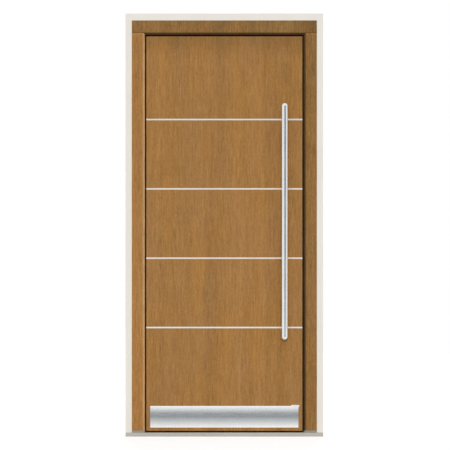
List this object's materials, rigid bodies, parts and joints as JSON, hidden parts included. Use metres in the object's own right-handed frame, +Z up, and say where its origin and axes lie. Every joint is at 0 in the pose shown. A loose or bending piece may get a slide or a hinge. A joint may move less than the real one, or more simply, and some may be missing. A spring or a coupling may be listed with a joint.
{
  "type": "front door with frame",
  "caption": "Flush oak front door in its frame, with flat metal inlays, a long round pull bar, a kick plate, a multipoint lock and barrel hinges.",
  "frame": {"origin": "middle of the threshold's underside, at half the depth of the frame", "axes": "+X to the right seen from outside, +Y indoors, +Z up"},
  "size_m": [1, 0.2135, 2.14],
  "materials": {
    "oak": "satin",
    "core_board": "matte",
    "off_white_paint": "satin",
    "sill_aluminium": "satin",
    "foot_composite": "matte",
    "sill_composite": "matte",
    "brushed_stainless": "satin",
    "hinge_steel": "satin",
    "zinc_steel": "satin",
    "hard_steel": "satin",
    "nickel_brass": "satin",
    "black_rubber": "matte"
  },
  "bodies": {
    "frame": {"sill_cover": "sill_aluminium", "sill_base": "sill_composite", "jamb_left": "oak", "jamb_right": "oak", "head": "oak", "jamb_foot_left": "foot_composite", "jamb_foot_right": "foot_composite", "extension_left": "off_white_paint", "extension_right": "off_white_paint", "extension_head": "off_white_paint", "strike_main": "brushed_stainless", "strike_upper": "brushed_stainless", "strike_lower": "brushed_stainless", "frame_screws": "zinc_steel", "hinge_frame_half_lower": "hinge_steel", "hinge_frame_half_middle": "hinge_steel", "hinge_frame_half_upper": "hinge_steel", "hinge_pin_lower": "hinge_steel", "hinge_pin_middle": "hinge_steel", "hinge_pin_upper": "hinge_steel"},
    "leaf": {"outer_skin": "oak", "inner_skin": "oak", "leaf_core": "core_board", "stile_hinge_side": "oak", "stile_lock_side": "oak", "rail_top": "oak", "rail_bottom": "oak", "leaf_gasket": "black_rubber", "bottom_seal": "black_rubber", "kick_plate": "brushed_stainless", "pull_bar": "brushed_stainless", "pull_bar_post_lower": "brushed_stainless", "pull_bar_post_upper": "brushed_stainless", "pull_bar_bolts": "brushed_stainless", "leaf_screws": "zinc_steel", "inlay_1": "brushed_stainless", "inlay_2": "brushed_stainless", "inlay_3": "brushed_stainless", "inlay_4": "brushed_stainless", "lock_faceplate": "brushed_stainless", "lock_case": "zinc_steel", "hook_case_upper": "zinc_steel", "hook_case_lower": "zinc_steel", "cylinder_body": "nickel_brass", "lever_rose": "brushed_stainless", "cylinder_rose": "brushed_stainless", "hinge_leaf_half_lower": "hinge_steel", "hinge_leaf_half_middle": "hinge_steel", "hinge_leaf_half_upper": "hinge_steel"},
    "lever": {"lever": "brushed_stainless", "lever_spindle": "zinc_steel", "follower_hub": "zinc_steel"},
    "latch": {"latch_bolt": "hard_steel"},
    "thumbturn": {"thumbturn": "brushed_stainless", "cylinder_cam": "nickel_brass"},
    "deadbolt": {"deadbolt": "hard_steel"},
    "hook_upper": {"hook_bolt_upper": "hard_steel"},
    "hook_lower": {"hook_bolt_lower": "hard_steel"},
    "rod_upper": {"drive_rod_upper": "zinc_steel"},
    "rod_lower": {"drive_rod_lower": "zinc_steel"}
  },
  "joints": [
    {"name": "door_swing", "type": "hinge", "parent": "frame", "child": "leaf", "pos_m": [-0.419, 0.051, 1.05], "axis": [0, 0, 1], "range_deg": [0, 100]},
    {"name": "lever_turn", "type": "hinge", "parent": "leaf", "child": "lever", "pos_m": [0.352, 0.052, 1.05], "axis": [0, -1, 0], "range_deg": [0, 40], "stiffness_Nm_per_rad": 1.5, "springref_deg": -20.05},
    {"name": "latch_slide", "type": "slide", "parent": "leaf", "child": "latch", "axis": [-1, 0, 0], "range_m": [0, 0.012]},
    {"name": "thumbturn_turn", "type": "hinge", "parent": "leaf", "child": "thumbturn", "pos_m": [0.352, 0.052, 0.958], "axis": [0, 1, 0], "range_deg": [0, 360]},
    {"name": "deadbolt_slide", "type": "slide", "parent": "leaf", "child": "deadbolt", "axis": [1, 0, 0], "range_m": [0, 0.02]},
    {"name": "hook_upper_turn", "type": "hinge", "parent": "leaf", "child": "hook_upper", "pos_m": [0.399, 0.021, 1.75], "axis": [0, 1, 0], "range_deg": [0, 90]},
    {"name": "hook_lower_turn", "type": "hinge", "parent": "leaf", "child": "hook_lower", "pos_m": [0.399, 0.021, 0.35], "axis": [0, -1, 0], "range_deg": [0, 90]},
    {"name": "rod_upper_slide", "type": "slide", "parent": "leaf", "child": "rod_upper", "axis": [0, 0, 1], "range_m": [0, 0.018]},
    {"name": "rod_lower_slide", "type": "slide", "parent": "leaf", "child": "rod_lower", "axis": [0, 0, -1], "range_m": [0, 0.018]}
  ],
  "couplings": [
    {"joint": "latch_slide", "follows": "lever_turn", "m_per_rad": 0.017188},
    {"joint": "thumbturn_turn", "follows": "deadbolt_slide", "rad_per_m": 314.16},
    {"joint": "hook_upper_turn", "follows": "deadbolt_slide", "rad_per_m": 78.539},
    {"joint": "hook_lower_turn", "follows": "deadbolt_slide", "rad_per_m": 78.539},
    {"joint": "rod_upper_slide", "follows": "deadbolt_slide", "ratio": 0.8999},
    {"joint": "rod_lower_slide", "follows": "deadbolt_slide", "ratio": 0.8999}
  ]
}
